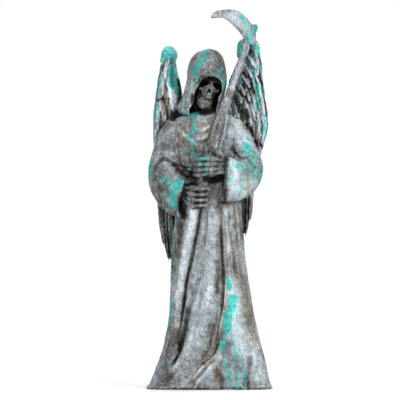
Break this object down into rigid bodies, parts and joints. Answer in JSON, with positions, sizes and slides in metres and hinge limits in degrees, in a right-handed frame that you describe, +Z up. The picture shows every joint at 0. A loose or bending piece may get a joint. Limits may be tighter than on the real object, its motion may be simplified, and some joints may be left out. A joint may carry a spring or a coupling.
{
  "type": "grim reaper garden figurine",
  "caption": "Cast and painted concrete figurine of a winged, hooded skeleton in a long robe that holds a scythe in front of it, standing on the flat underside of its hem.",
  "frame": {"origin": "bottom centre of the bounding box, on the flat underside of the hem plate", "axes": "+Z up from the hem to the scythe's blade, the figure faces -Y, its right hand is towards -X"},
  "size_m": [0.2026, 0.1206, 0.6088],
  "materials": {
    "painted_concrete": "matt cast concrete under a grey and white wash, dark in the hollows, with thin cracks and splashes and drips of green-blue paint"
  },
  "bodies": {
    "root": {"reaper": "painted_concrete"}
  },
  "joints": []
}
